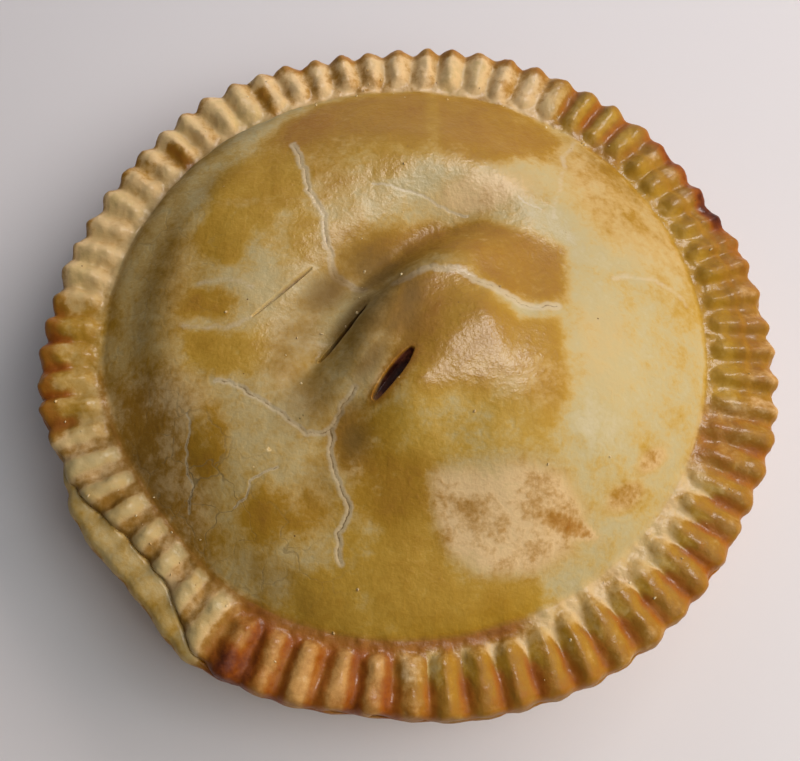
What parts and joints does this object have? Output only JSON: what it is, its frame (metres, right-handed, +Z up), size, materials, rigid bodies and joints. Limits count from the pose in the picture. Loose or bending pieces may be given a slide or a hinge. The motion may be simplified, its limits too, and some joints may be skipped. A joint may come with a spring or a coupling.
{
  "type": "meat and potato pie",
  "caption": "Round baked meat and potato pie out of its dish, with a domed cracked lid, knife-cut vents and a deep finger-crimped rim.",
  "frame": {"origin": "middle of the outline, on the flat base", "axes": "+Z up out of the lid; seen from above with +Y away, the vent cuts lie left of the middle and the bare ledge of the rim lies at the lower left"},
  "size_m": [0.2008, 0.2001, 0.0542],
  "materials": {
    "crust": "baked shortcrust pastry, part glazed, satin"
  },
  "bodies": {
    "root": {"pie": "crust"}
  },
  "joints": []
}
